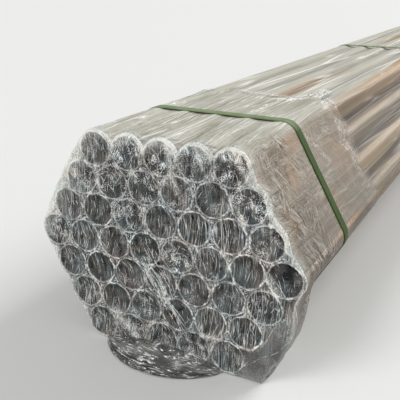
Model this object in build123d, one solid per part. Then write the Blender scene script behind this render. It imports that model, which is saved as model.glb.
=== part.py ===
import os
from math import cos, radians, sin, sqrt

from build123d import *

# Bundle of 44 round steel pipes in a hexagonal stack, wrapped in clear film and strapped.
# Millimetres. The pipes run along Y with the wrapped near end at -Y, and +Z is up.
# The origin is on the floor, in the middle of the whole bundle's length and width.

# Pipes
pipe_diameter = 50.8
pipe_wall = 2.0
pipe_length = 6000.0
pipe_slack = 0.8
outer_row_count = 5
rows_above_middle = 3

# Film that runs the whole length, and the extra layers over each end
film_thickness = 0.6
film_slack = 0.4
hood_thickness = 0.6
hood_length = 375.0
layer_gap = 0.3

# Straps
strap_width = 19.0
strap_thickness = 1.0
strap_gap = 0.2
first_strap_inset = 175.0
second_strap_inset = 1220.0
middle_strap_count = 2
lap_length = 90.0

# Loose film at the foot of the near end
tail_width = 190.0
tail_reach = 52.0
tail_height = 12.0
tail_bevel = 8.0
flap_start = 15.0
flap_length = 130.0
flap_top = 15.0
flap_belly = 100.0
flap_stand_off = 29.0
loose_film_gap = 0.3
loose_film_floor_gap = 0.5

# Spacing of the stack
pitch = pipe_diameter + pipe_slack
row_rise = pitch * sqrt(3) / 2
pipe_radius = pipe_diameter / 2
middle_row_count = outer_row_count + rows_above_middle

# Distances from a corner pipe's centre line out to each layer
film_inside = pipe_radius + film_slack
film_outside = film_inside + film_thickness
hood_inside = film_outside + layer_gap
hood_outside = hood_inside + hood_thickness
end_strap_outside = hood_outside + strap_gap + strap_thickness

# Where the stack lies: the straps over the end film are the lowest faces
bottom_row_height = end_strap_outside
middle_height = bottom_row_height + rows_above_middle * row_rise
near_end = -pipe_length / 2 + (tail_reach + loose_film_gap) / 2
far_end = near_end + pipe_length
near_hood_face = near_end - layer_gap - hood_thickness
far_hood_face = far_end + layer_gap + hood_thickness

# Half the flat top of the stack, and half its widest row, between pipe centres
half_outer_row = (outer_row_count - 1) / 2 * pitch
half_middle_row = (middle_row_count - 1) / 2 * pitch
corner_rise = rows_above_middle * row_rise
flank_angle = 60.0


# The outline of a layer drawn tight round the six corner pipes, seen along the pipes
def stack_outline(reach):
    corners = [
        (half_outer_row, corner_rise),
        (half_middle_row, 0),
        (half_outer_row, -corner_rise),
        (-half_outer_row, -corner_rise),
        (-half_middle_row, 0),
        (-half_outer_row, corner_rise),
    ]
    return offset(Polygon(*corners, align=None), amount=reach, kind=Kind.ARC)


# A sketch drawn across the bundle, carried along Y from start to end
def along_pipes(sketch, start, end):
    across = Plane(origin=(0, start, middle_height), x_dir=(1, 0, 0), z_dir=(0, -1, 0))
    return extrude(across * sketch, amount=end - start, dir=(0, 1, 0))


# A closed band round the bundle, between two distances from the corner pipes' centres
def band(inside, outside, start, end):
    return along_pipes(stack_outline(outside) - stack_outline(inside), start, end)


# Rows are counted from the top, and each row is set half a pitch off the one above
def pipe_rows():
    rows = {}
    section = Circle(pipe_radius) - Circle(pipe_radius - pipe_wall)
    pipe = along_pipes(section, near_end, far_end)
    for row in range(2 * rows_above_middle + 1):
        rows_from_middle = rows_above_middle - row
        count = middle_row_count - abs(rows_from_middle)
        places = GridLocations(pitch, 0, count, 1)
        rise = Pos(0, 0, rows_from_middle * row_rise)
        rows[f"pipes_row_{row + 1}"] = Compound([rise * place * pipe for place in places])
    return rows


# Clear film round the whole length
def body_film():
    return band(film_inside, film_outside, near_end, far_end)


# Extra film over an end: a sleeve back along the bundle, closed by a sheet across the pipe ends
def end_hood(face, mouth):
    sleeve = band(hood_inside, hood_outside, min(face, mouth), max(face, mouth))
    inward = hood_thickness if mouth > face else -hood_thickness
    sheet_ends = sorted([face, face + inward])
    sheet = along_pipes(stack_outline(hood_outside), *sheet_ends)
    return sleeve + sheet


# Distances of the strap centres from the near end: two set in from each end, the rest between
def strap_insets():
    first_far = pipe_length - second_strap_inset
    step = (first_far - second_strap_inset) / (middle_strap_count + 1)
    between = [second_strap_inset + step * (place + 1) for place in range(middle_strap_count)]
    return [
        first_strap_inset,
        second_strap_inset,
        *between,
        first_far,
        pipe_length - first_strap_inset,
    ]


# A strap pulled tight round the stack, with its free end lapped and welded on the upper left flank
def strap(inset):
    over_hood = inset < hood_length or inset > pipe_length - hood_length
    inside = (hood_outside if over_hood else film_outside) + strap_gap
    outside = inside + strap_thickness
    start = near_end + inset - strap_width / 2
    loop = band(inside, outside, start, start + strap_width)
    normal = 90 + flank_angle
    lap_middle = (half_outer_row + half_middle_row) / 2
    lap_reach = outside + strap_thickness / 2
    lap_x = -lap_middle + lap_reach * cos(radians(normal))
    lap_z = corner_rise / 2 + lap_reach * sin(radians(normal))
    lap_section = Pos(lap_x, lap_z) * Rot(0, 0, flank_angle) * Rectangle(lap_length, strap_thickness)
    return loop + along_pipes(lap_section, start, start + strap_width)


# The gathered tail of the end film, lying on the floor in front of the near end
def film_tail():
    back = near_hood_face - loose_film_gap
    bulge = ThreePointArc((tail_width / 2, back), (0, back - tail_reach), (-tail_width / 2, back))
    crescent = make_face([bulge, Line((-tail_width / 2, back), (tail_width / 2, back))])
    tail = Pos(0, 0, loose_film_floor_gap) * extrude(crescent, amount=tail_height)
    front_edges = tail.edges().filter_by(GeomType.CIRCLE).group_by(Axis.Z)[-1]
    return chamfer(front_edges, tail_bevel)


# A loose flap of the end film, hanging off the lower right flank and folded under on the floor.
# Its section is drawn down the flank from the widest corner, and outwards from the corner pipes' centres.
def film_flap():
    tight = hood_outside + loose_film_gap
    loose = tight + flap_stand_off
    floor = middle_height - loose_film_floor_gap

    def down_to_floor(outwards):
        return (floor - outwards * cos(radians(flank_angle))) / sin(radians(flank_angle))

    section = Polygon(
        (flap_top, tight),
        (flap_belly, loose),
        (down_to_floor(loose), loose),
        (down_to_floor(tight), tight),
        align=None,
    )
    flap = Pos(half_middle_row, 0) * Rot(0, 0, -180 + flank_angle) * section
    return along_pipes(flap, near_end + flap_start, near_end + flap_start + flap_length)


pieces = pipe_rows()
pieces["body_film"] = body_film()
pieces["near_end_film"] = end_hood(near_hood_face, near_end + hood_length)
pieces["far_end_film"] = end_hood(far_hood_face, far_end - hood_length)
for number, inset in enumerate(strap_insets(), start=1):
    pieces[f"strap_{number}"] = strap(inset)
pieces["film_tail"] = film_tail()
pieces["film_flap"] = film_flap()

os.makedirs("parts", exist_ok=True)
for name, piece in pieces.items():
    export_step(piece, f"parts/{name}.step")
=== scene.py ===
import math
import random

import bmesh
import bpy
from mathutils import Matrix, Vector, noise
from mathutils.geometry import intersect_point_line


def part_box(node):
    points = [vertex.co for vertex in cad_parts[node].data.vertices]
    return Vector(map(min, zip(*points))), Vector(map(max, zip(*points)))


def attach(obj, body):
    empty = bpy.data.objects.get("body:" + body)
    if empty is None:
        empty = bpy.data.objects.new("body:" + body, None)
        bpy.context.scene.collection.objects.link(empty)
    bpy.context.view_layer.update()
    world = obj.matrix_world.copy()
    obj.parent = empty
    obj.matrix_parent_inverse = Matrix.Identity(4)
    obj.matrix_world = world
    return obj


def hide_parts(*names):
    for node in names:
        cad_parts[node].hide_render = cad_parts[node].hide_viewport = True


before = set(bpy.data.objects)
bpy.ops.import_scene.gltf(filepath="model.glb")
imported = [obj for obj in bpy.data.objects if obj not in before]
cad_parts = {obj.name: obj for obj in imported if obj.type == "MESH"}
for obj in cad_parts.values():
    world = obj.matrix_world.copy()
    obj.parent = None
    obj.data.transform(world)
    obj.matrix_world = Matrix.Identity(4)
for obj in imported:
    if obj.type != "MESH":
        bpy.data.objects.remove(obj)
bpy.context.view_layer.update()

random.seed(44)
mm = 0.001

# sizes of the stack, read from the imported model
rowNames = [f"pipes_row_{number}" for number in range(1, 8)]
rowCounts = [5, 6, 7, 8, 7, 6, 5]
rowBoxes = [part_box(name) for name in rowNames]
topLow, topHigh = rowBoxes[0]
middleLow, middleHigh = rowBoxes[3]
pipeRadius = (topHigh.z - topLow.z) / 2
pipeWall = 2.0 * mm
boreRadius = pipeRadius - pipeWall
rimRadius = (pipeRadius + boreRadius) / 2
pitch = ((middleHigh.x - middleLow.x) - (topHigh.x - topLow.x)) / 3
nearEnd = topLow.y
farEnd = topHigh.y
middleHeight = (middleLow.z + middleHigh.z) / 2
rowHeights = [(low.z + high.z) / 2 for low, high in rowBoxes]
pipePlaces = []
for count, height in zip(rowCounts, rowHeights):
    for place in range(count):
        pipePlaces.append(((place - (count - 1) / 2) * pitch, height))


def reachOf(node):
    # distance from the corner pipes' centres out to a layer, read from the layer's width
    low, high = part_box(node)
    return (high.x - low.x) / 2 - 3.5 * pitch


# camera, at the photograph's place, which is measured from the middle of the near end
cameraSet = {"place": (0.4224, -0.6892, 0.3642), "turn": (70.39, -0.26, 27.83), "lens": 57.94,
             "sensor": 36.0}


def addCamera(values):
    data = bpy.data.cameras.new("camera")
    data.lens = values["lens"]
    data.sensor_width = values["sensor"]
    data.clip_start = 0.05
    data.clip_end = 50
    camera = bpy.data.objects.new("camera", data)
    x, y, z = values["place"]
    camera.location = (x, nearEnd + y, middleHeight + z)
    camera.rotation_euler = [math.radians(angle) for angle in values["turn"]]
    bpy.context.scene.collection.objects.link(camera)
    bpy.context.scene.camera = camera


addCamera(cameraSet)
print("camera ready")


# node helpers
def newMaterial(name, roughness=0.5, specular=0.5):
    material = bpy.data.materials.new(name)
    material.use_nodes = True
    tree = material.node_tree
    shader = tree.nodes["Principled BSDF"]
    shader.inputs["Roughness"].default_value = roughness
    shader.inputs["Specular IOR Level"].default_value = specular
    return material, tree, shader


# a socket gets a link or a value, and its id_data is the tree that it belongs to
def feed(socket, value):
    if isinstance(value, bpy.types.NodeSocket):
        socket.id_data.links.new(value, socket)
    elif socket.type == "RGBA":
        socket.default_value = (*value[:3], 1)
    else:
        socket.default_value = value


def addNode(tree, kind, settings=None, **inputs):
    node = tree.nodes.new(kind)
    for name, value in (settings or {}).items():
        setattr(node, name, value)
    for name, value in inputs.items():
        feed(node.inputs[name], value)
    return node


def maths(operation, *values, clamp=False):
    tree = next(value.id_data for value in values if isinstance(value, bpy.types.NodeSocket))
    node = addNode(tree, "ShaderNodeMath", {"operation": operation, "use_clamp": clamp})
    for socket, value in zip(node.inputs, values):
        feed(socket, value)
    return node.outputs[0]


# a share of a value, added to a base
def addShare(base, value, share, clamp=False):
    return maths("MULTIPLY_ADD", value, share, base, clamp=clamp)


def times(*values):
    result = values[0]
    for value in values[1:]:
        result = maths("MULTIPLY", result, value)
    return result


def largest(*values):
    result = values[0]
    for value in values[1:]:
        result = maths("MAXIMUM", result, value)
    return result


def mixColours(factor, first, second):
    node = addNode(factor.id_data, "ShaderNodeMix", {"data_type": "RGBA"})
    for socket, value in ((node.inputs[0], factor), (node.inputs[6], first), (node.inputs[7], second)):
        feed(socket, value)
    return node.outputs[2]


def stepUp(value, low, high, bottom=0.0, top=1.0):
    node = addNode(value.id_data, "ShaderNodeMapRange", {"interpolation_type": "SMOOTHSTEP"})
    for socket, setting in zip(node.inputs, (value, low, high, bottom, top)):
        feed(socket, setting)
    return node.outputs[0]


# 1 where value is at middle, falling to 0 at reach to either side
def nearTo(value, middle, reach):
    return thinLine(maths("ABSOLUTE", maths("SUBTRACT", value, middle)), reach)


# how far a pattern that runs from 0 to 1 is off its middle, and a thin line along that middle
def offMiddle(value):
    return maths("ABSOLUTE", maths("SUBTRACT", value, 0.5))


def thinLine(off, width, top=1.0):
    return maths("SUBTRACT", top, maths("DIVIDE", off, width), clamp=True)


def cloudy(vector, scale, detail=2.0, distortion=0.0, dimensions="3D"):
    node = addNode(vector.id_data, "ShaderNodeTexNoise", {"noise_dimensions": dimensions}, Vector=vector,
                   Scale=scale, Detail=detail, Distortion=distortion)
    return node.outputs[0]


# soft patches of that pattern: bottom below low, rising to top above high
def patchy(vector, scale, low, high, bottom=0.0, top=1.0, detail=2.0):
    return stepUp(cloudy(vector, scale, detail), low, high, bottom, top)


def spread(vector, across, along, shift=0.0):
    node = addNode(vector.id_data, "ShaderNodeMapping", Vector=vector)
    node.inputs["Scale"].default_value = (across, along, 1)
    node.inputs["Location"].default_value = (shift, shift * 0.7, shift * 0.3)
    return node.outputs[0]


def moved(vector, shift):
    return spread(vector, 1, 1, shift)


def layOf(tree):
    return addNode(tree, "ShaderNodeUVMap", {"uv_map": "filmLay"}).outputs[0]


def splitLay(lay):
    return addNode(lay.id_data, "ShaderNodeSeparateXYZ", Vector=lay).outputs


def attributes(tree, *names):
    return [addNode(tree, "ShaderNodeAttribute", {"attribute_name": name}).outputs["Fac"] for name in names]


def addBump(shader, strength, distance, height):
    bump = addNode(shader.id_data, "ShaderNodeBump", Strength=strength, Distance=distance, Height=height)
    feed(shader.inputs["Normal"], bump.outputs[0])


# a group that takes a vector and some numbers, and gives numbers
def newGroup(name, numbers, results):
    group = bpy.data.node_groups.new(name, "ShaderNodeTree")
    group.interface.new_socket("Vector", in_out="INPUT", socket_type="NodeSocketVector")
    for title, value in numbers.items():
        socket = group.interface.new_socket(title, in_out="INPUT", socket_type="NodeSocketFloat")
        socket.default_value = value
    for title in results:
        group.interface.new_socket(title, in_out="OUTPUT", socket_type="NodeSocketFloat")
    return group, group.nodes.new("NodeGroupInput").outputs, group.nodes.new("NodeGroupOutput").inputs


def placeGroup(group, lay, **values):
    return addNode(lay.id_data, "ShaderNodeGroup", {"node_tree": group}, Vector=lay, **values).outputs


# long thin threads of stretched film: the borders of drawn-out cells, broken by gaps
def makeThreadGroup():
    numbers = {"Across": 300.0, "Along": 20.0, "Width": 0.12, "Gaps": 0.45}
    group, entry, leave = newGroup("filmThreads", numbers, ("Threads", "Height"))
    flat = splitLay(entry["Vector"])
    scaled = addNode(group, "ShaderNodeCombineXYZ", X=times(flat[0], entry["Across"]),
                     Y=times(flat[1], entry["Along"])).outputs[0]
    sway = addNode(group, "ShaderNodeTexNoise", {"noise_dimensions": "2D"}, Vector=scaled, Scale=0.4,
                   Detail=1.0)
    swayed = addNode(group, "ShaderNodeVectorMath", {"operation": "MULTIPLY_ADD"})
    for socket, value in zip(swayed.inputs, (sway.outputs["Color"], (1.8, 1.8, 0), scaled)):
        feed(socket, value)
    settings = {"voronoi_dimensions": "2D", "feature": "DISTANCE_TO_EDGE"}
    cells = addNode(group, "ShaderNodeTexVoronoi", settings, Vector=swayed.outputs[0], Scale=1.0)
    edge = maths("DIVIDE", cells.outputs["Distance"], entry["Width"], clamp=True)
    thread = maths("SUBTRACT", 1.0, edge, clamp=True)
    shown = stepUp(cloudy(scaled, 0.75, dimensions="2D"),
                   maths("SUBTRACT", entry["Gaps"], 0.08), maths("ADD", entry["Gaps"], 0.08))
    feed(leave["Threads"], times(thread, shown))
    feed(leave["Height"], cells.outputs["Distance"])
    return group


# wrinkles in patches: inside each patch they run one way, and they fade towards its border
def makeWrinkleGroup():
    numbers = {"Patch": 40.0, "Across": 300.0, "Along": 60.0, "Lean": 0.0, "Turn": 2.0, "Width": 0.1}
    group, entry, leave = newGroup("filmWrinkles", numbers, ("Lines", "Height", "Fade"))
    settings = {"voronoi_dimensions": "2D", "feature": "F1"}
    cells = addNode(group, "ShaderNodeTexVoronoi", settings, Vector=entry["Vector"], Scale=entry["Patch"])
    own = addNode(group, "ShaderNodeVectorMath", {"operation": "SUBTRACT"})
    feed(own.inputs[0], entry["Vector"])
    feed(own.inputs[1], cells.outputs["Position"])
    chance = splitLay(cells.outputs["Color"])
    angle = addShare(entry["Lean"], maths("SUBTRACT", chance[0], 0.5), entry["Turn"])
    turned = addNode(group, "ShaderNodeVectorRotate", {"rotation_type": "Z_AXIS"},
                     Vector=own.outputs[0], Angle=angle)
    flat = splitLay(turned.outputs[0])
    scaled = addNode(group, "ShaderNodeCombineXYZ",
                     X=addShare(times(chance[1], 90.0), flat[0], entry["Across"]),
                     Y=addShare(times(chance[2], 90.0), flat[1], entry["Along"]))
    field = cloudy(scaled.outputs[0], 1.0, 1.5, 0.25, "2D")
    fade = stepUp(cells.outputs["Distance"], 0.22, 0.58, 1.0, 0.0)
    ridge = thinLine(offMiddle(field), entry["Width"])
    for title, value in (("Lines", times(ridge, fade)), ("Height", field), ("Fade", fade)):
        feed(leave[title], value)
    return group


threadGroup = makeThreadGroup()
wrinkleGroup = makeWrinkleGroup()


# mesh helpers
def clip(value):
    return max(0.0, min(1.0, value))


def pinUv(mesh, layer, placed):
    for face in mesh.faces:
        for loop in face.loops:
            loop[layer].uv = placed[loop.vert]


def finishMesh(name, mesh, materials, node=None, smooth=True):
    data = bpy.data.meshes.new(name)
    mesh.to_mesh(data)
    mesh.free()
    for material in materials:
        data.materials.append(material)
    data.polygons.foreach_set("use_smooth", [smooth] * len(data.polygons))
    piece = bpy.data.objects.new(name, data)
    bpy.context.scene.collection.objects.link(piece)
    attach(piece, "root")
    if node:
        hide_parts(node)
    return piece


def waves(x, y, z=0.0):
    return noise.noise(Vector((x, y, z)))


# steel
pipeSet = {"sides": 56, "bevel": 0.35 * mm, "outer": (0.40, 0.335, 0.26), "shadedInner": (0.061, 0.062, 0.059),
           "rim": (0.30, 0.305, 0.30), "shadow": (0.03, 0.03, 0.03)}


# the film closes the ends, so little light reaches the outsides of the pipes there
def makeSteel(name, colour, roughness, metallic, drawn=True, endShade=0.0):
    material, tree, shader = newMaterial(name)
    shader.inputs["Metallic"].default_value = metallic
    place = addNode(tree, "ShaderNodeTexCoord").outputs["Object"]
    mapping = addNode(tree, "ShaderNodeMapping", Vector=place)
    mapping.inputs["Scale"].default_value = (900, 6 if drawn else 900, 900)
    grain = cloudy(mapping.outputs[0], 1.0, 3.0)
    dark = tuple(value * 0.75 for value in colour)
    shade = mixColours(cloudy(place, 14.0), dark, colour)
    if endShade:
        along = splitLay(place)[1]
        fromMiddle = maths("ABSOLUTE", maths("SUBTRACT", along, (nearEnd + farEnd) / 2))
        half = (farEnd - nearEnd) / 2
        closed = stepUp(fromMiddle, half - 150 * mm, half - 40 * mm, 0.0, endShade)
        shade = mixColours(closed, shade, pipeSet["shadow"])
    feed(shader.inputs["Base Color"], shade)
    feed(shader.inputs["Roughness"], addShare(roughness - 0.12, grain, 0.25))
    return material


steelOuter = makeSteel("steelOuter", pipeSet["outer"], 0.42, 0.85, endShade=0.9)
# painted shade: the inside of the pipes gets a near-black colour for the shade deep in the bores
steelInner = makeSteel("steelInner", pipeSet["shadedInner"], 0.5, 0.8)
steelRim = makeSteel("steelRim", pipeSet["rim"], 0.45, 0.5, drawn=False)


def makePipeRow(number):
    values = pipeSet
    mesh = bmesh.new()
    bevel = values["bevel"]
    inside, outside = boreRadius, pipeRadius
    profile = [
        (inside + bevel, nearEnd), (outside - bevel, nearEnd), (outside, nearEnd + bevel),
        (outside, farEnd - bevel), (outside - bevel, farEnd), (inside + bevel, farEnd),
        (inside, farEnd - bevel), (inside, nearEnd + bevel),
    ]
    corners = [mesh.verts.new((radius, along, 0)) for radius, along in profile]
    edges = [mesh.edges.new((a, b)) for a, b in zip(corners, corners[1:] + corners[:1])]
    bmesh.ops.spin(mesh, geom=corners + edges, cent=(0, 0, 0), axis=(0, 1, 0), dvec=(0, 0, 0),
                   angle=math.tau, steps=values["sides"], use_merge=True, use_duplicate=False)
    bmesh.ops.recalc_face_normals(mesh, faces=mesh.faces[:])
    for face in mesh.faces:
        middle = face.calc_center_median()
        radius = math.hypot(middle.x, middle.z)
        if radius < inside + bevel * 0.2:
            face.material_index = 1
        elif min(middle.y - nearEnd, farEnd - middle.y) < bevel:
            face.material_index = 2
    count = rowCounts[number]
    first = mesh.verts[:] + mesh.edges[:] + mesh.faces[:]
    start = Vector((-(count - 1) / 2 * pitch, 0, rowHeights[number]))
    bmesh.ops.translate(mesh, verts=mesh.verts[:], vec=start)
    for place in range(1, count):
        copy = bmesh.ops.duplicate(mesh, geom=first)["geom"]
        verts = [item for item in copy if isinstance(item, bmesh.types.BMVert)]
        bmesh.ops.translate(mesh, verts=verts, vec=(place * pitch, 0, 0))
    return finishMesh(f"pipesRow{number + 1}", mesh, [steelOuter, steelInner, steelRim],
                      rowNames[number])


for number in range(7):
    makePipeRow(number)
print("pipes ready")


# the tight outline round the stack, walked clockwise from its upper right corner
cornerRows = [(5, 3), (8, 0), (5, -3), (-5, -3), (-8, 0), (-5, 3)]
rise = rowHeights[0] - middleHeight
stackCorners = [
    Vector((math.copysign((abs(count) - 1) / 2 * pitch, count), 0, middleHeight + rows / 3 * rise))
    for count, rows in cornerRows
]
sideGaps = [3, 3, 4, 3, 3, 4]
upperRight, lowerRight, underside, lowerLeft, upperLeft, topSide = range(6)


# each entry is a place on the outline: the pipe centre or point between two, the outward normal,
# the phase between two pipes, the side's number and how far along the side it is
def walkOutline(perGap, perCorner):
    middle = Vector((0, 0, middleHeight))
    normals = []
    for side in range(6):
        run = (stackCorners[(side + 1) % 6] - stackCorners[side]).normalized()
        normal = Vector((-run.z, 0, run.x))
        if normal.dot(stackCorners[side] - middle) < 0:
            normal = -normal
        normals.append(normal)
    walk = []
    for side in range(6):
        start, end = stackCorners[side], stackCorners[(side + 1) % 6]
        for step in range(perCorner):
            turned = normals[side - 1].slerp(normals[side], step / perCorner)
            walk.append((start, turned, 0.0, side, 0.0))
        steps = sideGaps[side] * perGap
        for step in range(steps):
            share = step / steps
            walk.append((start.lerp(end, share), normals[side], (step / perGap) % 1.0, side, share))
    walk.append(walk[0])
    return walk


def girthOf(walk, reach):
    lengths = [0.0]
    for a, b in zip(walk, walk[1:]):
        lengths.append(lengths[-1] + ((a[0] + a[1] * reach) - (b[0] + b[1] * reach)).length)
    return lengths


# how far film sags between two pipes: it follows the pipe's side and then bridges the gap
def sagAt(phase, depth):
    if depth <= 0:
        return 0.0
    aside = min(phase, 1 - phase) * pitch
    side = pipeRadius - math.sqrt(max(0.0, pipeRadius ** 2 - aside ** 2))
    return depth * (1 - math.exp(-side / depth))


# straps
strapSet = {"thickness": 1.0 * mm, "lap": 90 * mm, "rib": 2.6 * mm, "green": (0.030, 0.058, 0.012),
            "pale": (0.075, 0.115, 0.030), "lit": (0.27, 0.34, 0.19)}


def makeStrapMaterial(values):
    material, tree, shader = newMaterial("strapGreen", 0.5, 0.08)
    flat = splitLay(addNode(tree, "ShaderNodeUVMap", {"uv_map": "strapRun"}).outputs[0])
    ribs = []
    for sign in (1.0, -1.0):
        slant = addShare(flat[0], flat[1], sign)
        ribs.append(maths("SINE", times(slant, math.tau / values["rib"])))
    lattice = largest(*ribs)
    addBump(shader, 0.5, 0.25 * mm, lattice)
    place = addNode(tree, "ShaderNodeTexCoord").outputs["Object"]
    wearAndGlare = cloudy(place, 60.0, 3.0)
    shade = addShare(maths("MULTIPLY", wearAndGlare, 0.8), lattice, 0.25, clamp=True)
    green = mixColours(shade, values["green"], values["pale"])
    # painted highlight: the upward faces are painted the pale lit green, in patches that follow the same
    # noise as the wear
    level, = attributes(tree, "level")
    lit = times(level, addShare(0.3, wearAndGlare, 0.8, clamp=True))
    feed(shader.inputs["Base Color"], mixColours(lit, green, values["lit"]))
    return material


strapMaterial = makeStrapMaterial(strapSet)


def makeStrap(number, values):
    name = f"strap_{number}"
    low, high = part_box(name)
    width = high.y - low.y
    reach = reachOf(name)
    walk = walkOutline(10, 8)
    around = len(walk) - 1
    lengths = girthOf(walk, reach)
    mesh = bmesh.new()
    layer = mesh.loops.layers.uv.new("strapRun")
    level = mesh.verts.layers.float.new("level")
    placed = {}
    bmesh.ops.create_grid(mesh, x_segments=around, y_segments=4, size=0.5, calc_uvs=False)
    for vert in mesh.verts:
        step, across = round((vert.co.x + 0.5) * around), vert.co.y + 0.5
        centre, normal = walk[step][:2]
        placed[vert] = (lengths[step], across * width)
        vert[level] = clip(normal.z * 2 - 1)
        place = centre + normal * reach
        vert.co = (place.x, low.y + across * width, place.z)
    bmesh.ops.remove_doubles(mesh, verts=mesh.verts[:], dist=0.01 * mm)
    # the free end, lapped over the loop on the upper left side
    lapSteps = 24
    lap = bmesh.ops.create_grid(mesh, x_segments=lapSteps, y_segments=4, size=0.5, calc_uvs=False)["verts"]
    start, end = stackCorners[upperLeft], stackCorners[topSide]
    run = (end - start).normalized()
    normal = Vector((-run.z, 0, run.x))
    for vert in lap:
        share, across = vert.co.x, vert.co.y + 0.5
        ramp = min(1.0, (0.5 - abs(share)) * 12)
        place = start.lerp(end, 0.5) + run * share * values["lap"]
        place += normal * (reach + values["thickness"] * ramp)
        placed[vert] = (share * values["lap"] + 0.7 * mm, across * width)
        vert.co = (place.x, low.y + across * width, place.z)
    pinUv(mesh, layer, placed)
    bmesh.ops.recalc_face_normals(mesh, faces=mesh.faces[:])
    bmesh.ops.solidify(mesh, geom=mesh.faces[:], thickness=values["thickness"])
    return finishMesh(f"strap{number}", mesh, [strapMaterial], name)


for number in range(1, 7):
    makeStrap(number, strapSet)
print("straps ready")


# stretch film
filmSet = {
    "cool": (0.33, 0.385, 0.385), "rosy": (0.42, 0.38, 0.35), "line": (0.97, 0.96, 0.92),
    "coolGlint": (0.90, 0.955, 0.97), "rosyGlint": (1.0, 0.94, 0.87),
    "taupe": (0.275, 0.205, 0.15), "warm": (0.44, 0.275, 0.16), "pink": (0.40, 0.25, 0.20),
    "warmGlint": (0.95, 0.87, 0.76), "pale": (0.43, 0.42, 0.34), "milky": (0.62, 0.62, 0.55),
    "white": (0.80, 0.79, 0.72), "frosty": (0.47, 0.52, 0.50), "grey": (0.29, 0.295, 0.29),
    "hollowShade": (0.11, 0.085, 0.07), "topShade": (0.27, 0.225, 0.16), "shaded": (0.145, 0.118, 0.095),
    "dim": (0.15, 0.15, 0.145),
}
touchRadius = 26.2 * mm        # from a pipe's centre, just outside its rim
# how far back from the front edge the strap, its rear edge and the hem lie
strapRun, strapEdgeRun, hemRun = 0.175, 0.1875, 0.335


def makeEndFilmMaterial():
    material, tree, shader = newMaterial("filmAcrossEnd", 0.25, 0.35)
    lay = layOf(tree)
    upright, crumpled, hazy = attributes(tree, "upright", "crumple", "haze")
    shoulder, gathered, veil, toPipe = attributes(tree, "shoulder", "gather", "veil", "off")
    wobble = maths("SUBTRACT", cloudy(lay, 110.0, 1.0), 0.5)
    off = addShare(toPipe, wobble, 5 * mm)

    # threads, wrinkles and specks
    threads = placeGroup(threadGroup, lay, Across=330.0, Along=15.0, Width=0.11, Gaps=0.44)
    fine = placeGroup(threadGroup, moved(lay, 0.31), Across=560.0, Along=80.0, Width=0.14, Gaps=0.47)
    crush = placeGroup(wrinkleGroup, lay, Patch=42.0, Across=340.0, Along=40.0, Lean=0.05, Turn=1.6,
                       Width=0.058)
    crushFine = placeGroup(wrinkleGroup, moved(lay, 0.17), Patch=80.0, Across=420.0,
                           Along=200.0, Lean=-0.1, Turn=3.1, Width=0.085)
    specks = patchy(lay, 560.0, 0.58, 0.68, detail=1.0)

    # painted highlight rings where the film touches the rims, here and there doubled
    onRim = maths("MULTIPLY", nearTo(off, rimRadius, 1.9 * mm), 1.4, clamp=True)
    broken = times(patchy(lay, 75.0, 0.40, 0.58, 0.05), addShare(1.0, crumpled, -0.6),
                   patchy(lay, 300.0, 0.3, 0.55, 0.45, detail=1.0))
    doubled = times(patchy(moved(lay, 0.4), 45.0, 0.52, 0.62), patchy(lay, 160.0, 0.42, 0.58))
    outerRing = nearTo(off, rimRadius + 2.6 * mm, 0.9 * mm)
    ring = largest(times(onRim, broken), times(outerRing, doubled, 0.6))

    # painted highlights on what shines: threads, crushed film, the gaps between pipes and the rings, dulled
    # where it hangs
    nearRim = stepUp(nearTo(off, touchRadius, 5.5 * mm), 0.0, 0.5)
    contact = times(nearRim, patchy(lay, 70.0, 0.44, 0.56))
    lines = largest(times(threads["Threads"], upright),
                    times(fine["Threads"], largest(times(upright, 0.6), shoulder)))
    uneven = patchy(moved(lay, 0.9), 55.0, 0.38, 0.62, 0.3, 1.6)
    crushing = largest(times(crumpled, uneven), contact, shoulder, gathered)
    crushed = largest(crush["Lines"], times(crushFine["Lines"], 0.9), times(specks, 0.85))
    inGap = times(stepUp(off, 26.0 * mm, 27.0 * mm),
                  patchy(moved(lay, 2.1), 34.0, 0.38, 0.54, detail=1.0))
    inGap = times(largest(fine["Threads"], crushFine["Lines"], crush["Lines"], specks), inGap)
    bright = times(largest(lines, times(crushed, crushing), inGap, ring), addShare(1.0, veil, -0.8))

    # how much it covers
    gap = stepUp(off, touchRadius, 28.0 * mm, 1.0, 0.10)
    mist = patchy(lay, 60.0, 0.32, 0.68, 0.0, 1.9)
    streaky = patchy(spread(lay, 300, 14), 1.0, 0.35, 0.68, 0.4, 1.9)
    sheen = patchy(spread(lay, 60, 9, 0.6), 1.0, 0.4, 0.7, 0.45, 0.75)
    cover = times(hazy, mist, streaky, gap)
    layers = ((crumpled, 0.03), (contact, 0.05), (shoulder, 0.7), (veil, sheen), (gathered, 0.3))
    for value, share in layers:
        cover = addShare(cover, value, share)
    feed(shader.inputs["Alpha"], addShare(cover, bright, 0.95, clamp=True))

    tint = patchy(lay, 24.0, 0.38, 0.62)
    haze = mixColours(tint, filmSet["cool"], filmSet["rosy"])
    haze = mixColours(largest(shoulder, gathered), haze,
                      mixColours(tint, filmSet["milky"], filmSet["white"]))
    haze = mixColours(times(veil, 0.8), haze, filmSet["dim"])
    # the painted highlights take a pale cool or rosy glint colour
    line = mixColours(patchy(moved(lay, 0.7), 38.0, 0.35, 0.65), filmSet["coolGlint"], filmSet["rosyGlint"])
    feed(shader.inputs["Base Color"], mixColours(bright, haze, line))
    addBump(shader, 0.7, 1.2 * mm, addShare(times(threads["Height"], upright), crush["Height"], crushing))
    return material


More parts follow.
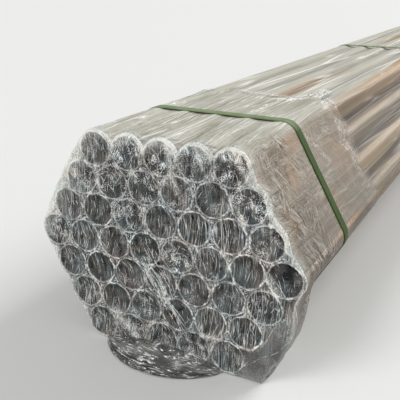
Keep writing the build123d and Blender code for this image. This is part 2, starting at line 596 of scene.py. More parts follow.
def makeSideFilmMaterial():
    material, tree, shader = newMaterial("filmAlongSides", 0.45, 0.12)
    lay = layOf(tree)
    back = splitLay(lay)[1]
    top, lower, valleys, wrinkled = attributes(tree, "level", "lower", "valley", "wrinkle")
    frost, loose, gathered = attributes(tree, "shoulder", "loose", "gather")
    rows = placeGroup(wrinkleGroup, lay, Patch=21.0, Across=165.0, Along=26.0, Lean=0.9, Turn=2.0,
                      Width=0.10)
    fine = placeGroup(wrinkleGroup, moved(lay, 0.23), Patch=40.0, Across=380.0, Along=70.0,
                      Lean=0.5, Turn=2.8, Width=0.07)
    streaks = placeGroup(threadGroup, lay, Across=170.0, Along=6.0, Width=0.10, Gaps=0.50)
    puckers = placeGroup(threadGroup, lay, Across=260.0, Along=18.0, Width=0.12, Gaps=0.45)
    leather = offMiddle(cloudy(lay, 85.0, 3.0, 1.6))
    scrawl = offMiddle(cloudy(lay, 62.0, 2.0, 2.4))

    # taupe, warm and pink patches over the flanks, with painted shade on the lower flank, along dark
    # streaks and in the valleys between the top pipes, deepest just behind the front edge
    patches = cloudy(spread(lay, 13, 8), 1.0, 3.0)
    spots = cloudy(spread(lay, 34, 26, 5.0), 1.0)
    flank = mixColours(stepUp(patches, 0.46, 0.62), filmSet["taupe"], filmSet["warm"])
    flank = mixColours(stepUp(spots, 0.60, 0.74), flank, filmSet["pink"])
    flank = mixColours(times(lower, 0.9), flank, filmSet["shaded"])
    darkStreaks = patchy(spread(lay, 110, 5, 2.0), 1.0, 0.50, 0.68)
    valley = times(valleys, stepUp(spots, 0.35, 0.65, 0.3, 1.0))
    upper = mixColours(largest(times(valley, 0.75), times(darkStreaks, 0.75)),
                       filmSet["pale"], filmSet["topShade"])
    deep = times(valleys, stepUp(back, 0.004, 0.05, 0.8, 0.0))
    upper = mixColours(deep, upper, filmSet["hollowShade"])

    # whiter at the front edge, frosted at the upper left, grey where it hangs loose
    front = largest(stepUp(addShare(back, spots, 0.03), 0.012, 0.045, 1.0, 0.0), frost)
    bands = patchy(spread(lay, 60, 4), 1.0, 0.35, 0.65, detail=3.0)
    # the upward faces take the paler top colours and most of the white streaky bands: partly the film's own
    # look, partly painted light and sheen from above
    ground = mixColours(top, flank, upper)
    layers = ((times(front, 0.7), "milky"), (times(frost, 0.8), "frosty"), (loose, "grey"),
              (times(bands, addShare(0.03, top, 0.38)), "white"))
    for share, colour in layers:
        ground = mixColours(share, ground, filmSet[colour])

    # wrinkles, creases, the hem, and the pull of the strap: painted highlights on their ridges and along
    # the streaks, strongest on top, and painted shade in the hollows
    hem = times(stepUp(back, hemRun, 0.365), stepUp(spots, 0.38, 0.58, 0.15, 1.0),
                addShare(0.4, top, 0.6))
    amount = largest(wrinkled, front, hem)
    worms = times(thinLine(leather, 0.035), stepUp(spots, 0.42, 0.60, 0.0, 0.5))
    wrinkles = largest(times(rows["Lines"], 0.7), times(fine["Lines"], 0.55), worms)
    wrinkles = times(wrinkles, amount, addShare(1.0, lower, -0.4))
    frayed = addShare(gathered, maths("SUBTRACT", cloudy(lay, 42.0, 1.0), 0.5), 1.6)
    crease = times(stepUp(frayed, 0.2, 0.75), stepUp(gathered, 0.0, 0.3))
    whiteness = largest(addShare(0.45, top, 0.5), frost)
    wrinkles = largest(wrinkles, times(thinLine(scrawl, 0.04, 1.5), crease, whiteness),
                       times(front, largest(rows["Lines"], fine["Lines"]), 0.85))
    pulled = times(puckers["Threads"], nearTo(back, strapRun, 0.045), 0.5)
    strapEdge = times(nearTo(back, strapEdgeRun, 0.003), 0.5)
    drawn = times(streaks["Threads"], addShare(0.1, top, 0.72))
    bright = addShare(largest(wrinkles, pulled, drawn, strapEdge), hem, 0.25, clamp=True)
    hollow = times(stepUp(rows["Height"], 0.32, 0.50, 1.0, 0.0), rows["Fade"])
    hollowFine = times(stepUp(fine["Height"], 0.32, 0.50, 1.0, 0.0), fine["Fade"], 0.75)
    ground = mixColours(times(largest(hollow, hollowFine), amount, 0.62), ground, filmSet["hollowShade"])
    # the painted highlights are whiter on top and cream on the flanks
    line = mixColours(top, filmSet["warmGlint"], filmSet["line"])
    feed(shader.inputs["Base Color"], mixColours(bright, ground, line))

    # it thins out at the hem
    cover = addShare(addShare(0.85, loose, -0.35), bright, 0.15, clamp=True)
    wearing = addShare(back, maths("SUBTRACT", patches, 0.5), 0.12)
    thin = stepUp(wearing, hemRun, 0.378, 1.0, 0.12)
    cover = times(cover, largest(thin, times(bright, 0.9), times(crease, 0.6)))
    feed(shader.inputs["Alpha"], cover)
    height = addShare(times(fine["Height"], fine["Fade"], amount, 0.4), rows["Height"],
                      times(rows["Fade"], amount))
    height = addShare(height, leather, times(amount, -1.6))
    height = addShare(height, scrawl, times(crease, -0.7))
    height = addShare(height, times(bands, addShare(0.05, top, 0.3)), 1.0)
    addBump(shader, 1.0, 6.0 * mm, height)
    return material


filmAcrossEnd = makeEndFilmMaterial()
filmAlongSides = makeSideFilmMaterial()

# how the film lies over each mouth, row by row from the top: s smooth, l fine upright lines, v strong
# ones, c crumpled, C more so, w whitened, f foggy, q quiet, b bright lines, d slanting ones, h hollow
mouthRows = ["lCCcC", "wccfsC", "lqcsvvf", "clsdClLh", "sqsfssb", "bqfdvv", "bCbcl"]
mouthKinds = {
    "s": {"upright": 0.40, "crumple": 0.33, "haze": 0.09, "dip": 5.5 * mm},
    "l": {"upright": 0.58, "crumple": 0.36, "haze": 0.08, "dip": 4.5 * mm},
    "L": {"upright": 0.45, "crumple": 0.10, "haze": 0.12, "dip": 4.5 * mm},
    "v": {"upright": 0.80, "crumple": 0.12, "haze": 0.07, "dip": 5.0 * mm},
    "c": {"upright": 0.40, "crumple": 0.68, "haze": 0.03, "dip": 3.5 * mm},
    "C": {"upright": 0.36, "crumple": 0.86, "haze": 0.04, "dip": 3.0 * mm},
    "w": {"upright": 0.56, "crumple": 0.58, "haze": 0.06, "dip": 3.0 * mm},
    "f": {"upright": 0.28, "crumple": 0.48, "haze": 0.15, "dip": 4.0 * mm},
    "q": {"upright": 0.42, "crumple": 0.16, "haze": 0.075, "dip": 5.0 * mm},
    "b": {"upright": 0.78, "crumple": 0.50, "haze": 0.02, "dip": 5.0 * mm},
    "d": {"upright": 0.20, "crumple": 0.30, "haze": 0.08, "dip": 4.0 * mm},
    "h": {"upright": 0.15, "crumple": 0.25, "haze": 0.05, "dip": 14.0 * mm},
}
mouths = [mouthKinds[kind] for kind in "".join(mouthRows)]

# sides in the order of the outline's walk: upper right, lower right, under, lower left, upper left, top
hoodSet = {
    "perGap": 32, "perCorner": 16, "sideRings": 80, "gapDip": 3.0 * mm,
    "scallop": [5 * mm, 2 * mm, 1 * mm, 1 * mm, 0, 30 * mm], "scallopRun": 45 * mm,
    "groove": [0, 0, 0, 0, 0, 1.2 * mm],
    "lip": [2 * mm, 0, 1 * mm, 3 * mm, 5 * mm, 0],
    "bulge": [1 * mm, 0, 0, 2 * mm, 2 * mm, 0], "bulgeRun": 160 * mm, "hang": 31 * mm,
    "crinkle": 1.4 * mm, "edgeRound": 4.0 * mm, "ragged": 18 * mm, "ruck": 5 * mm, "frostRun": 90 * mm,
    "shoulder": [13, 3, 6, 11, 34, 22],
}
# film gathered into thick lines over the mouths: points in mm from the middle of the end, then width
gathers = [
    ([(-80, -112), (-39, -153), (14, -151), (72, -153)], 14), ([(66, -112), (86, -110)], 7),
    ([(112, 84), (124, 60)], 7), ([(158, -4), (170, -24)], 9), ([(10, 156), (16, 120), (24, 90)], 8),
    ([(104, 160), (130, 118)], 9), ([(52, 156), (62, 128)], 6), ([(-104, 110), (-98, 74)], 5),
]
# crinkled creases between the strap and the hem: mm right of the middle of the top, and on down the
# upper right side, and mm back from the front edge, then width
creases = [
    ([(37, 196), (41, 292)], 9), ([(30, 330), (62, 338), (98, 350)], 20), ([(98, 350), (90, 372)], 26),
    ([(-60, 352), (-20, 362), (20, 350)], 16), ([(-106, 196), (-98, 218)], 12),
    ([(108, 186), (132, 204), (165, 232)], 10), ([(104, 350), (150, 330), (190, 340)], 34),
]
# the lump of gathered film at the hem, with the tongue it draws back along the top
knot = {"x": 90 * mm, "run": 362 * mm, "radius": 21 * mm, "height": 13 * mm, "tongue": 60 * mm,
        "tongueWidth": 20 * mm}
# where the hang is full down the lower right side and gone under the stack, as shares of each side, and
# how far back along the stack it reaches at the top of that side, and how much further at its foot
hangSet = {"full": 0.58, "gone": 0.35, "back": 75 * mm, "further": 90 * mm}
farHoodSet = {**hoodSet, "perGap": 16, "perCorner": 8, "sideRings": 40,
              "scallop": [3 * mm] * 6, "lip": [2 * mm] * 6, "bulge": [1 * mm] * 6, "hang": 0}


# the values of the mouths round a place, blended, with the distance to the nearest pipe's centre
def mouthAt(x, z):
    reachOut = 45 * mm
    found, total, nearest = dict.fromkeys(mouthKinds["s"], 0.0), 0.0, 1.0
    for (px, pz), mouth in zip(pipePlaces, mouths):
        if abs(x - px) > reachOut or abs(z - pz) > reachOut:
            continue
        off = math.hypot(x - px, z - pz)
        nearest = min(nearest, off)
        weight = max(0.0, 1 - off / reachOut) ** 3
        total += weight
        for name in found:
            found[name] += mouth[name] * weight
    for name in found:
        found[name] /= max(total, 1e-9)
    return found, nearest


# how near a place is to drawn lines, from 1 on a line to 0 at its width
def lineAt(place, lines):
    strongest = 0.0
    for points, width in lines:
        for a, b in zip(points, points[1:]):
            nearest, share = intersect_point_line(place, Vector(a), Vector(b))
            closest = Vector(a) if share < 0 else Vector(b) if share > 1 else nearest
            strongest = max(strongest, 1 - (place - closest).length / width)
    return strongest


# how far the film over the mouths lies behind its front plane
def faceDepth(x, z, values):
    mouth, off = mouthAt(x, z)
    inside = max(0.0, 1 - (off / boreRadius) ** 2)
    depth = mouth["dip"] * inside
    if off > pipeRadius:
        depth += values["gapDip"] * min(1.0, (off - pipeRadius) / (4.4 * mm))
    free = min(1.0, abs(off - rimRadius) / (4 * mm))
    crush = waves(x * 120, z * 120, 2.0) + 0.6 * waves(x * 230, z * 230, 5.0)
    drape = waves(x * 190, z * 14, 0.7)
    depth += free * (crush * mouth["crumple"] * 1.3 * mm + drape * mouth["upright"] * 0.9 * mm)
    return depth, mouth, off


# how far the film hangs off the lower right side, as a share of the most
def hangAt(side, share, run):
    if side == lowerRight:
        along = min(1.0, share / hangSet["full"])
    elif side == underside:
        along = max(0.0, 1 - share / hangSet["gone"])
    else:
        return 0.0
    along = along * along * (3 - 2 * along)
    reachBack = hangSet["back"] + hangSet["further"] * (share if side == lowerRight else 1.0)
    return along * max(0.0, 1 - (run / reachBack) ** 3)


# where the film's outline lies, at a distance back from the front edge
def hoodEdge(entry, run, reach, values):
    centre, normal, phase, side, share = entry
    hold = math.exp(-run / values["scallopRun"])
    belly = math.sin(math.pi * share) ** 0.6 if share > 0 else 0.0
    swell = math.sin(math.pi * min(1.0, run / values["bulgeRun"]))
    out = reach - sagAt(phase, values["scallop"][side] * hold + values["groove"][side])
    out += belly * (values["lip"][side] * hold + values["bulge"][side] * swell)
    turned = max(0.0, normal.x) / math.cos(math.radians(30))
    out += values["hang"] * hangAt(side, share, run) * (turned if side == underside else 1.0)
    if normal.z > -0.6:
        rough = waves(centre.x * 75 + normal.x * 3, run * 70, centre.z * 75 + normal.z * 3)
        calm = min(1.0, abs(run - 0.171) / 0.02)
        out += rough * values["crinkle"] * (0.35 + 0.65 * hold) * calm
    edge = centre + normal * out
    edge.z = max(edge.z, 0.6 * mm)
    return edge


# place round a ring of a square grid, as a share of the whole turn
def roundSquare(i, j, ring):
    if ring == 0:
        return 0.0
    if i == ring:
        along = ring + j
    elif j == ring:
        along = 3 * ring - i
    elif i == -ring:
        along = 5 * ring - j
    else:
        along = 7 * ring + i
    return along / (8 * ring)


def makeEndHood(name, node, faceSide, values):
    low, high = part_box(node)
    reach = reachOf(node)
    walk = walkOutline(values["perGap"], values["perCorner"])
    around = len(walk) - 1
    half = around // 8
    face = low.y if faceSide < 0 else high.y
    inward = -faceSide
    middle = Vector((0, 0, middleHeight))
    rim = [hoodEdge(entry, 0.0, reach, values) for entry in walk]
    girth = girthOf(walk, reach)
    rightCorner = values["perCorner"] + 3 * values["perGap"]        # the walk's step at the widest row
    mesh = bmesh.new()
    lay = mesh.loops.layers.uv.new("filmLay")
    names = ("off", "upright", "crumple", "haze", "shoulder", "gather", "veil", "level", "wrinkle", "loose",
             "valley", "lower")
    layers = {title: mesh.verts.layers.float.new(title) for title in names}
    layAt = {}

    # the sheet across the mouths: rings of a square grid, each drawn to the outline's shape
    sheet = bmesh.ops.create_grid(mesh, x_segments=2 * half, y_segments=2 * half, size=half, calc_uvs=False)
    for vert in sheet["verts"]:
        i, j = round(vert.co.x), round(vert.co.y)
        ring = max(abs(i), abs(j))
        step = ((rightCorner / around + 1 / 8 - roundSquare(i, j, ring)) % 1.0) * around
        first = int(step + 1e-6) % around
        edge = rim[first].lerp(rim[first + 1], step - int(step + 1e-6))
        point = middle.lerp(edge, ring / half)
        toEdge = (edge - point).length
        depth, mouth, off = faceDepth(point.x, point.z, values)
        held = min(1.0, toEdge / values["edgeRound"])
        depth = depth * held + values["edgeRound"] * (1 - math.sqrt(1 - (1 - held) ** 2))
        vert.co = (point.x, face + inward * depth, point.z)
        vert[layers["off"]] = off
        for title in ("upright", "crumple", "haze"):
            vert[layers[title]] = mouth[title]
        side = walk[first][3]
        cover = max(0.0, 1 - toEdge / (values["shoulder"][side] * mm))
        if off > boreRadius or side in (topSide, upperLeft):
            vert[layers["shoulder"]] = cover * (1.0 if off > boreRadius else 0.6)
        if faceSide < 0:
            vert[layers["gather"]] = lineAt(Vector((point.x, point.z - middleHeight)) / mm, gathers)
            beyond = min(1.0, max(0.0, off - 26 * mm) / (5 * mm))
            vert[layers["veil"]] = beyond * hangAt(side, walk[first][4], 0.0)
        warp = waves(point.x * 9, point.z * 9, 1.7) * 0.012
        layAt[vert] = (point.x + warp, point.z)

    # the sleeve back along the stack
    sleeve = bmesh.ops.create_grid(mesh, x_segments=around, y_segments=values["sideRings"], size=0.5,
                                   calc_uvs=False)
    sleeveVerts = set(sleeve["verts"])
    longest = high.y - low.y - values["edgeRound"]
    for vert in sleeve["verts"]:
        step = round((vert.co.x + 0.5) * around)
        part = vert.co.y + 0.5
        run = longest * (0.45 * part + 0.55 * part ** 2)
        entry = walk[step]
        centre, normal, phase, side, share = entry
        edge = hoodEdge(entry, run, reach, values)
        wander = waves(centre.x * 14 + normal.x, 0.3, centre.z * 14 + normal.z)
        wander += 0.7 * waves(centre.x * 60 + normal.x * 2, 1.3, centre.z * 60 + normal.z * 2)
        ragged = wander * values["ragged"]
        if faceSide < 0 and side == topSide:
            ragged += knot["tongue"] * math.exp(-((edge.x - knot["x"]) / knot["tongueWidth"]) ** 2)
        ragged *= max(0.0, (part - 0.85) / 0.15)
        if normal.z > -0.3:
            rucks = abs(waves(centre.x * 45 + normal.x * 2, run * 60, centre.z * 45))
            edge += normal * max(0.0, 1 - abs(part - 0.95) / 0.07) * rucks * values["ruck"]
        crease = 0.0
        if faceSide < 0 and side in (topSide, upperRight):
            across = edge.x if side == topSide else stackCorners[0].x + share * 3 * pitch
            crease = lineAt(Vector((across, run)) / mm, creases)
        if faceSide < 0 and side == topSide:
            toKnot = math.hypot(edge.x - knot["x"], run - knot["run"]) / knot["radius"]
            lump = max(0.0, 1 - toKnot) ** 0.5
            edge.z += lump * knot["height"] * (0.5 + abs(waves(edge.x * 130, run * 130, 3.0)))
            crease = max(crease, min(1.0, 1.6 * lump))
        back = values["edgeRound"] + run
        vert.co = (edge.x, face + inward * (back + ragged), edge.z)
        hold = math.exp(-run / values["scallopRun"])
        drawIn = (phase - 0.5) * pitch * 0.5 * hold
        layAt[vert] = (girth[step] + drawIn + waves(girth[step] * 9, back * 5) * 0.008, back)
        vert[layers["level"]] = clip(normal.z * 1.6 - 0.6)
        onShoulder = side == upperLeft or (side == topSide and share == 0)
        frost = max(0.0, 1 - back / values["frostRun"]) if onShoulder else 0.0
        vert[layers["shoulder"]] = min(1.0, 1.6 * frost)
        vert[layers["gather"]] = max(crease, 0.8 * frost)
        vert[layers["loose"]] = hangAt(side, share, run) if values["hang"] else 0.0
        vert[layers["valley"]] = math.sin(math.pi * phase) ** 4 * vert[layers["level"]]
        vert[layers["lower"]] = share if side == upperRight else 1.0 if normal.z < 0.3 else 0.0
        patch = 0.75 + 1.0 * waves(girth[step] * 16, back * 14, 4.0)
        zone = max(0.0, 1 - abs(back - 0.07) / 0.11) if back < 0.17 else 0.25
        vert[layers["wrinkle"]] = clip(zone * patch * 1.5) * (1 - vert[layers["level"]] * 0.7)
    for grid in mesh.faces:
        grid.material_index = 1 if grid.verts[0] in sleeveVerts else 0
    pinUv(mesh, lay, layAt)
    # where the sleeve meets the sheet and itself, both sides take the larger of each value
    pairs = bmesh.ops.find_doubles(mesh, verts=mesh.verts[:], dist=0.02 * mm)["targetmap"]
    for double, kept in pairs.items():
        for layer in layers.values():
            kept[layer] = double[layer] = max(double[layer], kept[layer])
    bmesh.ops.weld_verts(mesh, targetmap=pairs)
    bmesh.ops.recalc_face_normals(mesh, faces=mesh.faces[:])
    piece = finishMesh(name, mesh, [filmAcrossEnd, filmAlongSides], node)
    return piece


makeEndHood("nearEndFilm", "near_end_film", -1, hoodSet)
print("near end film ready")
makeEndHood("farEndFilm", "far_end_film", 1, farHoodSet)
print("far end film ready")


# film pinched into sharp folds over the mouths, from end to end in mm from the middle of the near end
foldSet = {"width": 0.52 * mm, "height": 0.6 * mm, "lift": 0.15 * mm, "step": 5 * mm, "bundle": 38,
           "slant": (0.52, 0.85), "upright": 7, "crumple": 24}
longFolds = [
    ((-44, 5), (31, -100)), ((-29, 11), (-2, -25)), ((-19, 1), (4, -31)), ((-11, 2), (0, -14)),
    ((-22, -53), (39, -104)), ((2, -76), (29, -97)), ((6, -45), (18, -56)), ((13, -84), (42, -109)),
    ((-84, 109), (-88, 66)), ((92, 60), (92, 26)), ((99, 61), (100, 29)), ((114, 67), (116, 53)),
    ((164, 5), (180, -27)), ((158, -2), (168, -26)), ((166, -8), (190, -28)), ((160, 8), (163, -4)),
    ((155, 6), (161, -14)), ((172, 0), (178, -16)), ((108, -45), (120, -57)), ((197, -70), (177, -103)),
    ((178, -103), (151, -121)), ((152, -121), (133, -140)), ((184, -40), (187, -80)),
    ((173, -36), (175, -72)), ((171, -68), (158, -100)), ((192, -26), (199, -60)),
    ((163, -84), (149, -108)),
]
# curls: middle and radius in mm, then the first and last angle in degrees
curls = [((88, 78), 7, 20, 250), ((29, 110), 10, -30, 300), ((118, -52), 8, 200, 330)]


def makeFoldMaterial():
    material, tree, shader = newMaterial("filmFolds", 0.25)
    place = addNode(tree, "ShaderNodeTexCoord").outputs["Object"]
    # painted highlight: the folds take the pale glint colours, as the shine along their ridges
    tint = patchy(place, 40.0, 0.35, 0.65)
    feed(shader.inputs["Base Color"], mixColours(tint, filmSet["coolGlint"], filmSet["rosyGlint"]))
    feed(shader.inputs["Alpha"], patchy(place, 160.0, 0.33, 0.55, 0.12, 0.95))
    return material


def addFold(mesh, start, end, sway, values, face):
    length = math.dist(start, end)
    steps = max(3, round(length / values["step"]))
    verts = bmesh.ops.create_grid(mesh, x_segments=steps, y_segments=2, size=0.5, calc_uvs=False)["verts"]
    along = Vector((end[0] - start[0], end[1] - start[1])) / length
    side = Vector((-along.y, along.x))
    for vert in verts:
        share, across = vert.co.x + 0.5, vert.co.y * 2
        taper = math.sin(math.pi * share) ** 0.5
        aside = sway * math.sin(math.pi * share) + across * values["width"] / 2 * taper
        x = start[0] + along.x * length * share + side.x * aside
        z = start[1] + along.y * length * share + side.y * aside
        depth = faceDepth(x, z + middleHeight, hoodSet)[0]
        raised = values["lift"] + (values["height"] * taper if abs(across) < 0.5 else 0.0)
        vert.co = (x, face + max(0.4 * mm, depth) - raised, z + middleHeight)


def makeFolds(values):
    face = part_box("near_end_film")[0].y
    mesh = bmesh.new()
    folds = [[(x * mm, z * mm) for x, z in fold] for fold in longFolds]
    for (x, z), radius, first, last in curls:
        turns = [math.radians(angle) for angle in range(first, last + 1, 30)]
        points = [((x + radius * math.cos(turn)) * mm, (z + radius * math.sin(turn)) * mm)
                  for turn in turns]
        folds += [[a, b] for a, b in zip(points, points[1:])]
    # the bundle of slanting folds across the middle
    right, down = values["slant"]
    for _ in range(values["bundle"]):
        run, aside, length = random.uniform(-62, 40), random.gauss(0, 7), random.uniform(22, 60)
        x, z = -6 + run * right + aside * down, -48 - run * down + aside * right
        folds.append([(x * mm, z * mm), ((x + length * right) * mm, (z - length * down) * mm)])
    # short folds over each mouth
    for (px, pz), mouth in zip(pipePlaces, mouths):
        count = round(values["upright"] * mouth["upright"] + values["crumple"] * mouth["crumple"])
        for _ in range(count):
            turn, out = random.uniform(0, math.tau), random.uniform(0.2, 1.08) * boreRadius
            lean = random.gauss(0, 0.12 + 0.6 * mouth["crumple"])
            length = random.uniform(6, 12 + 22 * mouth["upright"]) * mm
            x, z = px + out * math.cos(turn), pz - middleHeight + out * math.sin(turn) + length / 2
            fold = [(x, z), (x + length * math.sin(lean), z - length * math.cos(lean))]
            if all(mouthAt(a, b + middleHeight)[1] < pipeRadius + 4 * mm for a, b in fold):
                folds.append(fold)
    for start, end in folds:
        addFold(mesh, start, end, random.uniform(-1, 1) * 0.06 * math.dist(start, end), values, face)
    bmesh.ops.recalc_face_normals(mesh, faces=mesh.faces[:])
    return finishMesh("nearEndFolds", mesh, [makeFoldMaterial()], None)


makeFolds(foldSet)
print("folds ready")


# the film along the whole stack
bodyFilmSet = {"perGap": 12, "perCorner": 6, "rings": 340, "seamDrop": 0.4 * mm, "inset": 6 * mm,
               "groove": [8 * mm, 8 * mm, 4 * mm, 8 * mm, 8 * mm, 5 * mm],
               "beige": (0.35, 0.22, 0.12), "dusky": (0.16, 0.11, 0.068), "ochre": (0.45, 0.33, 0.14),
               "crownHighlight": (0.50, 0.39, 0.27), "straw": (0.66, 0.64, 0.54), "amber": (0.55, 0.36, 0.19),
               "shadow": (0.08, 0.062, 0.048)}


def makeBodyFilmMaterial(values):
    material, tree, shader = newMaterial("filmAlongPipes", 0.4, 0.18)
    lay = layOf(tree)
    groove, top = attributes(tree, "groove", "level")
    streaks = placeGroup(threadGroup, lay, Across=120.0, Along=2.5, Width=0.12, Gaps=0.50)
    broad = placeGroup(threadGroup, lay, Across=50.0, Along=1.6, Width=0.12, Gaps=0.50)
    bands = patchy(spread(lay, 24, 0.7), 1.0, 0.38, 0.62)
    flank = mixColours(bands, values["dusky"], values["beige"])
    stretches = patchy(spread(lay, 28, 2.0, 5.0), 1.0, 0.56, 0.70, 0.0, 0.8)
    flank = mixColours(stretches, flank, values["ochre"])
    upper = mixColours(patchy(spread(lay, 20, 0.8, 3.0), 1.0, 0.56, 0.68),
                       values["straw"], values["amber"])
    # the upward faces take the paler straw colours: partly the film's own tone, partly painted light from
    # above
    ground = mixColours(top, flank, upper)
    # painted highlight along each pipe's crown, and painted shade in the grooves between them and along
    # thin dark lines
    crown = times(stepUp(groove, 0.0, 0.35, 1.0, 0.0),
                  stepUp(bands, 0.0, 1.0, 0.15, 0.45), maths("SUBTRACT", 1.0, top))
    ground = mixColours(crown, ground, values["crownHighlight"])
    dark = times(stepUp(groove, 0.3, 1.0), addShare(1.0, top, -0.38),
                 patchy(spread(lay, 5, 5, 1.0), 1.0, 0.3, 0.6, 0.7, detail=1.0))
    lines = patchy(spread(lay, 140, 3, 7.0), 1.0, 0.52, 0.66)
    dark = largest(dark, times(lines, 0.25))
    ground = mixColours(dark, ground, values["shadow"])
    # painted highlights: white streaks, the broad ones stronger on top
    bright = largest(times(streaks["Threads"], 0.24), times(broad["Threads"], addShare(0.18, top, 0.47)))
    feed(shader.inputs["Base Color"], mixColours(bright, ground, filmSet["line"]))
    cover = addShare(addShare(0.5, top, 0.22), dark, 0.3)
    feed(shader.inputs["Alpha"], addShare(cover, bright, 0.4, clamp=True))
    addBump(shader, 0.5, 1.5 * mm, broad["Height"])
    return material


filmAlongPipes = makeBodyFilmMaterial(bodyFilmSet)


def makeBodyFilm(values):
    low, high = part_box("body_film")
    reach = reachOf("body_film")
    inset = values["inset"]
    # the film's two long edges lap over each other under the bundle
    whole = walkOutline(values["perGap"], values["perCorner"])[:-1]
    first = 3 * values["perCorner"] + 7 * values["perGap"]
    lap = values["perGap"]
    walk = whole[first:] + whole[:first + lap]
    around = len(walk) - 1
    girth = girthOf(walk, reach)
    mesh = bmesh.new()
    lay = mesh.loops.layers.uv.new("filmLay")
    layers = {title: mesh.verts.layers.float.new(title) for title in ("groove", "level")}
    bmesh.ops.create_grid(mesh, x_segments=around, y_segments=values["rings"], size=0.5, calc_uvs=False)
    layAt = {}
    for vert in mesh.verts:
        step = round((vert.co.x + 0.5) * around)
        centre, normal, phase, side = walk[step][:4]
        run = low.y + inset + (vert.co.y + 0.5) * (high.y - low.y - 2 * inset)
        swell = 0.75 + 0.6 * waves(centre.x * 11, run * 3, centre.z * 11)
        fromEnd = min(run - low.y, high.y - run)
        dip = values["groove"][side] * max(0.1, swell) + hoodSet["groove"][side]
        dip += hoodSet["scallop"][side] * math.exp(-fromEnd / hoodSet["scallopRun"])
        below = clip((step - around + lap) / 3) * values["seamDrop"]
        edge = centre + normal * (reach + below - sagAt(phase, dip))
        vert.co = (edge.x, run, edge.z)
        vert[layers["groove"]] = math.sin(math.pi * phase) ** 2
        vert[layers["level"]] = clip(normal.z * 1.6 - 0.6)
        layAt[vert] = (girth[step], run)
    pinUv(mesh, lay, layAt)
    bmesh.ops.recalc_face_normals(mesh, faces=mesh.faces[:])
    piece = finishMesh("bodyFilm", mesh, [filmAlongPipes], "body_film")
    return piece


makeBodyFilm(bodyFilmSet)
print("body film ready")


# loose film at the foot of the near end
looseSet = {"tailSteps": (90, 56), "tailHeight": 17 * mm, "tailLift": 1.5 * mm, "tailTurn": 0.6,
            "tailShade": (0.055, 0.058, 0.055), "flapSteps": (70, 60), "flapTop": 100 * mm,
            "flapFoot": 157 * mm}


def makeLooseMaterial(name, cover, shade):
    material, tree, shader = newMaterial(name, 0.15, 0.25)
    lay = layOf(tree)
    rim, = attributes(tree, "rim")
    threads = placeGroup(threadGroup, lay, Across=190.0, Along=28.0, Width=0.12, Gaps=0.46)
    crush = placeGroup(wrinkleGroup, lay, Patch=60.0, Across=380.0, Along=110.0, Lean=0.3, Turn=2.4,
                       Width=0.065)
    glints = patchy(spread(lay, 330, 120, 1.1), 1.0, 0.64, 0.68)
    strewn = patchy(moved(lay, 0.8), 38.0, 0.42, 0.56, 0.15)
    drawn = times(largest(threads["Threads"], crush["Lines"]), strewn)
    # painted highlights: bright threads and crushes in patches, scattered glints, and a line along two
    # edges of the sheet
    bright = largest(drawn, glints, times(rim, 0.8))
    broad = patchy(spread(lay, 70, 30), 1.0, 0.3, 0.7, 0.5, 1.7, detail=3.0)
    alpha = addShare(times(broad, cover), bright, 0.9, clamp=True)
    feed(shader.inputs["Alpha"], alpha)
    feed(shader.inputs["Base Color"], mixColours(bright, shade, filmSet["line"]))
    addBump(shader, 0.8, 1.5 * mm, addShare(threads["Height"], crush["Height"], 0.5))
    return material


def makeLooseSheet(name, node, steps, placeOf, lengths, material, turned=False):
    mesh = bmesh.new()
    lay = mesh.loops.layers.uv.new("filmLay")
    rimLayer = mesh.verts.layers.float.new("rim")
    bmesh.ops.create_grid(mesh, x_segments=steps[0], y_segments=steps[1], size=0.5, calc_uvs=False)
    layAt = {}
    for vert in mesh.verts:
        u, v = vert.co.x + 0.5, vert.co.y + 0.5
        layAt[vert] = (v * lengths[1], u * lengths[0]) if turned else (u * lengths[0], v * lengths[1])
        edge = min(u * lengths[0], (1 - u) * lengths[0])
        vert[rimLayer] = max(0.0, 1 - edge / (2 * mm))
        vert.co = placeOf(u, v)
    pinUv(mesh, lay, layAt)
    bmesh.ops.recalc_face_normals(mesh, faces=mesh.faces[:])
    piece = finishMesh(name, mesh, [material], node)
    return piece


def makeTail(values):
    low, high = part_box("film_tail")
    half, reach = (high.x - low.x) / 2, high.y - low.y
    lift, turnedAt = values["tailLift"], values["tailTurn"]

    # out over the floor to the front edge, then folded back under itself
    def placeOf(u, v):
        x = (u * 2 - 1) * half
        bow = max(0.0, 1 - (u * 2 - 1) ** 2)
        far = reach * bow ** 0.75
        fold = abs(waves(x * 55 + v * 2.5, v * 3.0, 1.0)) * 6 * mm * bow ** 0.5
        if v < turnedAt:
            t = v / turnedAt
            out = far * (1 - (1 - t) ** 1.7)
            slope = (1 - t) ** 1.2 * (0.35 + 0.65 * bow)
            height = lift + values["tailHeight"] * slope + fold * (1 - t * 0.5)
        else:
            t = (v - turnedAt) / (1 - turnedAt)
            out = far * (1 - 0.5 * t)
            height = lift * (1 - t) + 0.3 * mm + fold * 0.5 * (1 - t)
        return x, high.y - out, low.z + height

    material = makeLooseMaterial("filmTail", 0.5, values["tailShade"])
    return makeLooseSheet("filmTail", "film_tail", values["tailSteps"], placeOf, (0.19, 0.085), material,
                          turned=True)


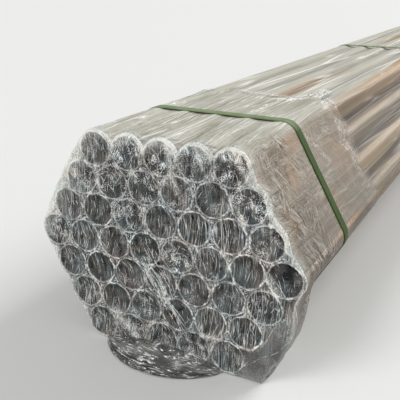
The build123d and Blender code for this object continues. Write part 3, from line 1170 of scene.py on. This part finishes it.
def makeFlap(values):
    low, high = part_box("film_flap")
    start, end = stackCorners[lowerRight], stackCorners[underside]
    run = (end - start).normalized()
    normal = Vector((-run.z, 0, run.x))
    tight = reachOf("near_end_film")
    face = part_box("near_end_film")[0].y

    # down the hanging side from the top, then folded in over the floor
    def placeOf(u, v):
        y = low.y + (0.02 + 0.94 * u) * (high.y - low.y)
        sway = waves(u * 4, v * 2, 3.0)
        ripple = waves(u * 7, v * 5, 8.0) * 2.5 * mm * math.sin(math.pi * min(1.0, v * 1.4))
        reach = tight + hoodSet["hang"] * max(0.3, hangAt(lowerRight, 0.8, y - face))
        foot = start + run * values["flapFoot"] + normal * (reach + 2 * mm)
        if v < 0.55:
            share = v / 0.55
            top = start + run * values["flapTop"] + normal * (reach - 6 * mm)
            place = top.lerp(foot, share) + normal * (math.sin(math.pi * share) * 3 * mm + ripple)
        else:
            share = (v - 0.55) / 0.45
            place = foot + Vector((-share * (44 - 26 * u) * mm, 0, math.sin(math.pi * share) * 2 * mm))
        return place.x + sway * 2 * mm, y + sway * 4 * mm, max(low.z + 0.1 * mm, place.z + ripple * 0.4)

    material = makeLooseMaterial("filmFlap", 0.5, filmSet["grey"])
    return makeLooseSheet("filmFlap", "film_flap", values["flapSteps"], placeOf, (0.122, 0.1), material)


makeTail(looseSet)
makeFlap(looseSet)
print("loose film ready")


# plain pale floor and studio light
stageSet = {"floor": (0.72, 0.72, 0.70), "world": (0.86, 0.88, 0.90), "worldStrength": 0.5,
            "backdrop": (0.86, 0.865, 0.85), "key": 2.35, "fill": 1.5}


def addStage(values):
    mesh = bmesh.new()
    bmesh.ops.create_grid(mesh, x_segments=1, y_segments=1, size=20)
    data = bpy.data.meshes.new("floor")
    mesh.to_mesh(data)
    mesh.free()
    floor = bpy.data.objects.new("floor", data)
    bpy.context.scene.collection.objects.link(floor)
    material, _, shader = newMaterial("floorPaint", 0.85)
    feed(shader.inputs["Base Color"], values["floor"])
    data.materials.append(material)
    world = bpy.data.worlds.new("studio")
    world.use_nodes = True
    tree = world.node_tree
    light = tree.nodes["Background"]
    feed(light.inputs["Color"], values["world"])
    feed(light.inputs["Strength"], values["worldStrength"])
    # beyond the floor the camera sees a backdrop of the floor's own tone
    backdrop = addNode(tree, "ShaderNodeBackground", Color=values["backdrop"], Strength=1.0)
    seen = addNode(tree, "ShaderNodeMixShader")
    feed(seen.inputs[0], addNode(tree, "ShaderNodeLightPath").outputs["Is Camera Ray"])
    feed(seen.inputs[1], light.outputs[0])
    feed(seen.inputs[2], backdrop.outputs[0])
    feed(tree.nodes["World Output"].inputs["Surface"], seen.outputs[0])
    bpy.context.scene.world = world


# broad, distant light, the same along the whole bundle
def addLamp(name, towards, strength, softness):
    data = bpy.data.lights.new(name, "SUN")
    data.energy = strength
    data.angle = math.radians(softness)
    lamp = bpy.data.objects.new(name, data)
    lamp.location = (0, 0, 3)
    lamp.rotation_mode = "QUATERNION"
    lamp.rotation_quaternion = Vector(towards).to_track_quat("-Z", "Y")
    bpy.context.scene.collection.objects.link(lamp)


addStage(stageSet)
addLamp("keyLight", (-1.3, -2.1, -1.7), stageSet["key"], 30)
addLamp("fillLight", (0.9, 2.0, -2.1), stageSet["fill"], 30)
bpy.context.scene.view_settings.view_transform = "Standard"
print("stage ready")
